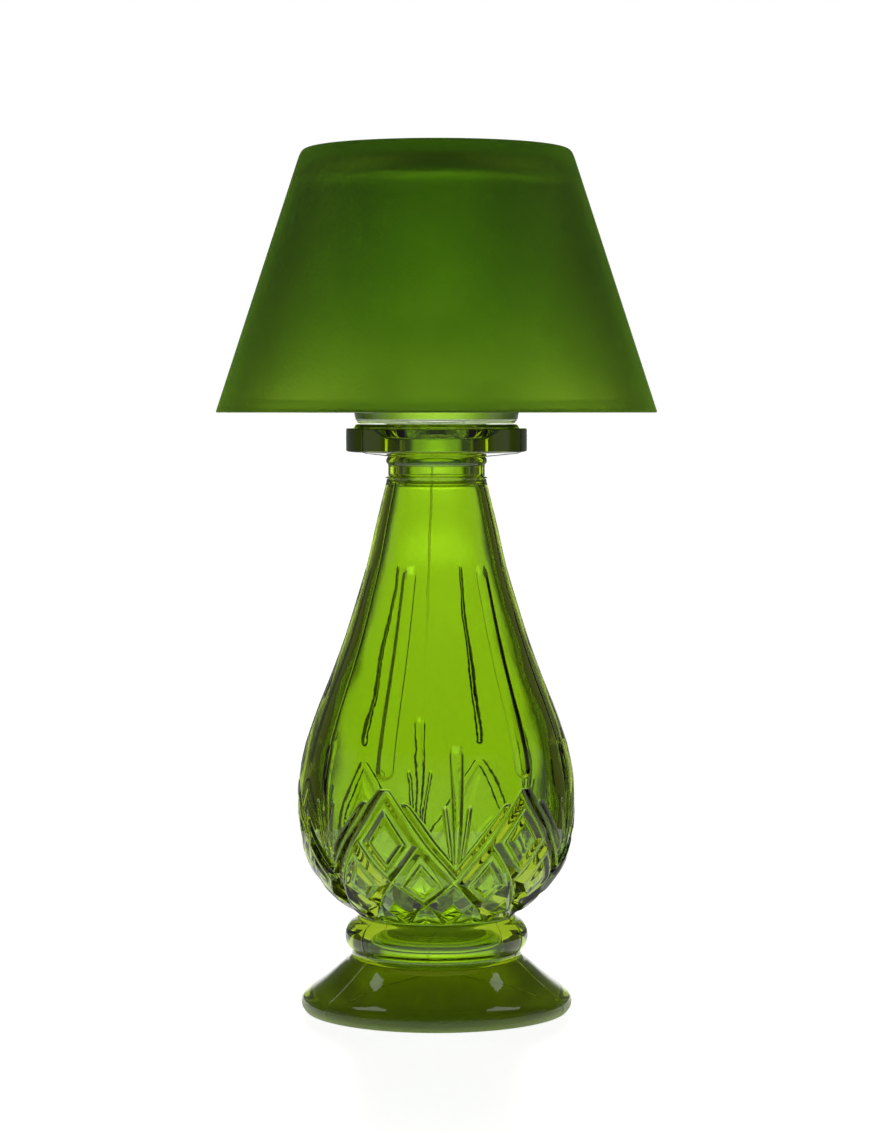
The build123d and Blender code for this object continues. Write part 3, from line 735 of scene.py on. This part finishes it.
# ---------------------------------------------------------------- stage

EYE_HEIGHT = 0.1883             # metres: the camera is level with the shade's rim
EYE_DISTANCE = 1.019
EYE_ASIDE = 0.0025
LOOK_DOWN = 2.713               # degrees
FOCAL = 103.4                   # millimetres on a 36 mm long side


def camera():
    data = bpy.data.cameras.new("camera")
    data.sensor_width = 36.0
    data.lens = FOCAL
    data.clip_start = 0.01
    data.clip_end = 50
    eye = bpy.data.objects.new("camera", data)
    eye.location = (EYE_ASIDE, -EYE_DISTANCE, EYE_HEIGHT)
    eye.rotation_euler = (math.radians(90 - LOOK_DOWN), 0, 0)
    bpy.context.collection.objects.link(eye)
    bpy.context.scene.camera = eye


TABLE_RADIUS = 0.30             # metres
TABLE_GLOW = 0.90
TABLE_EDGE = (0.12, 0.28)       # distance out over which the glow grows to that of a white backdrop
TABLE_ROUGHNESS = 0.35
COVERED = (0.034, 0.042)        # under the foot the table lies in the object's shadow: its edge,
UNDER_SHARE = 0.3               # and the share of the glow that is left there


def white_floor():
    """A small pale table, evenly lit. Its edge is a touch brighter, so that it merges with the
    white backdrop."""
    bpy.ops.mesh.primitive_circle_add(vertices=96, radius=TABLE_RADIUS, fill_type="NGON",
                                      location=(0, 0, 0))
    floor = bpy.context.object
    floor.name = "floor"
    material, tree, shader = new_material("floor_white")
    tree.links.new(blend_colours(tree, noise(tree, 3), (0.60, 0.60, 0.60), (0.64, 0.64, 0.64)),
                   shader.inputs["Base Color"])
    shader.inputs["Roughness"].default_value = TABLE_ROUGHNESS
    shader.inputs["Emission Color"].default_value = (1, 1, 1, 1)
    out, _ = distance_out(tree)
    open_table = fade(tree, out, TABLE_EDGE, TABLE_GLOW, 1.0)
    shaded = fade(tree, out, COVERED, UNDER_SHARE, 1.0)
    tree.links.new(maths(tree, "MULTIPLY", open_table, shaded), shader.inputs["Emission Strength"])
    floor.data.materials.append(material)


BACK_LIGHT = 1.33               # the even panel behind the object
SKIRT_LIGHT = 0.12              # the wall beside that panel
CROSS_LIGHT = 0.30              # a panel at each side
FRONT_LIGHT = 0.30              # a wide, dim panel in front
DIM = 0.03                      # the dark studio between the panels
PANEL_EDGE = (11.0, 20.0)       # degrees from a panel's middle to where it starts to fade and ends
SKIRT_EDGE = (25.0, 75.0)       # the same for the wall beside it, and for the wide panel in front
TOP_EDGE = (8.0, 26.0)          # the same for all panels, in degrees above the level
HOT_SPOT = 1.2                  # a lamp behind the neck, on top of the even panel
HOT_HEIGHT = 3.0                # degrees above the level
HOT_EDGE = (0.5, 10.0)          # degrees from its middle


def back_panel(tree, round_about):
    """Light of the panel behind and of the wall beside it, by the angle in radians from straight
    behind."""
    panel = angle_fade(tree, round_about, PANEL_EDGE, BACK_LIGHT)
    return maths(tree, "ADD", panel, angle_fade(tree, round_about, SKIRT_EDGE, SKIRT_LIGHT))


def studio_world():
    """A dark studio with a bright panel and a lamp behind the object, and dimmer panels at both
    sides and in front. The camera itself sees a plain white backdrop instead; only what the object
    and the table refract, reflect and receive comes from the studio."""
    world = bpy.data.worlds.new("studio")
    bpy.context.scene.world = world
    world.use_nodes = True
    tree = world.node_tree
    tree.nodes.clear()
    output = tree.nodes.new("ShaderNodeOutputWorld")
    source = tree.nodes.new("ShaderNodeTexCoord")
    split = tree.nodes.new("ShaderNodeSeparateXYZ")
    tree.links.new(source.outputs["Generated"], split.inputs["Vector"])

    x, y, z = (split.outputs[axis] for axis in "XYZ")
    round_about = maths(tree, "ABSOLUTE", maths(tree, "ARCTAN2", x, y))
    from_side = maths(tree, "ABSOLUTE", maths(tree, "SUBTRACT", round_about, math.pi / 2))
    from_front = maths(tree, "SUBTRACT", math.pi, round_about)
    panels = maths(tree, "ADD", back_panel(tree, round_about),
                   angle_fade(tree, from_side, PANEL_EDGE, CROSS_LIGHT))
    panels = maths(tree, "ADD", panels, angle_fade(tree, from_front, SKIRT_EDGE, FRONT_LIGHT))
    rise = maths(tree, "ARCSINE", z)
    lit = maths(tree, "MULTIPLY", panels, angle_fade(tree, rise, TOP_EDGE, 1.0))
    over_spot = maths(tree, "SUBTRACT", rise, math.radians(HOT_HEIGHT))
    squares = maths(tree, "ADD", maths(tree, "MULTIPLY", over_spot, over_spot),
                    maths(tree, "MULTIPLY", round_about, round_about))
    hot = angle_fade(tree, maths(tree, "SQRT", squares), HOT_EDGE, HOT_SPOT)
    lit = maths(tree, "ADD", maths(tree, "ADD", lit, hot), DIM)
    background = tree.nodes.new("ShaderNodeBackground")
    tree.links.new(lit, background.inputs["Color"])
    plain = tree.nodes.new("ShaderNodeBackground")
    plain.inputs["Color"].default_value = (1, 1, 1, 1)
    path = tree.nodes.new("ShaderNodeLightPath")
    mix = tree.nodes.new("ShaderNodeMixShader")
    tree.links.new(path.outputs["Is Camera Ray"], mix.inputs["Fac"])
    tree.links.new(background.outputs["Background"], mix.inputs[1])
    tree.links.new(plain.outputs["Background"], mix.inputs[2])
    tree.links.new(mix.outputs["Shader"], output.inputs["Surface"])


SOFTBOX_PLACE = (0.50, 0.20, 0.90)      # metres: aside, back and up from the foot's middle
SOFTBOX_SIZE = (0.22, 0.32)
SOFTBOX_POWER = 0.36            # watts
BOUNCES = 24                    # light crosses many walls of glass
GLASS_BOUNCES = 20


def softbox(name, side):
    """A soft panel that looks at the middle of the foot, from the side -1 or 1."""
    aside, back, up = SOFTBOX_PLACE
    data = bpy.data.lights.new(name, "AREA")
    data.shape = "RECTANGLE"
    data.size, data.size_y = SOFTBOX_SIZE
    data.energy = SOFTBOX_POWER
    lamp = bpy.data.objects.new(name, data)
    lamp.location = (side * aside, back, up)
    lamp.rotation_euler = lamp.location.to_track_quat("Z", "Y").to_euler()
    lamp.visible_camera = False
    bpy.context.collection.objects.link(lamp)


camera()
white_floor()
studio_world()
softbox("softbox_left", -1)
softbox("softbox_right", 1)
bpy.context.scene.view_settings.view_transform = "Standard"
bpy.context.scene.cycles.max_bounces = BOUNCES
bpy.context.scene.cycles.transmission_bounces = GLASS_BOUNCES

green_base()
clear_cup()
satin_shade()
dress_light()
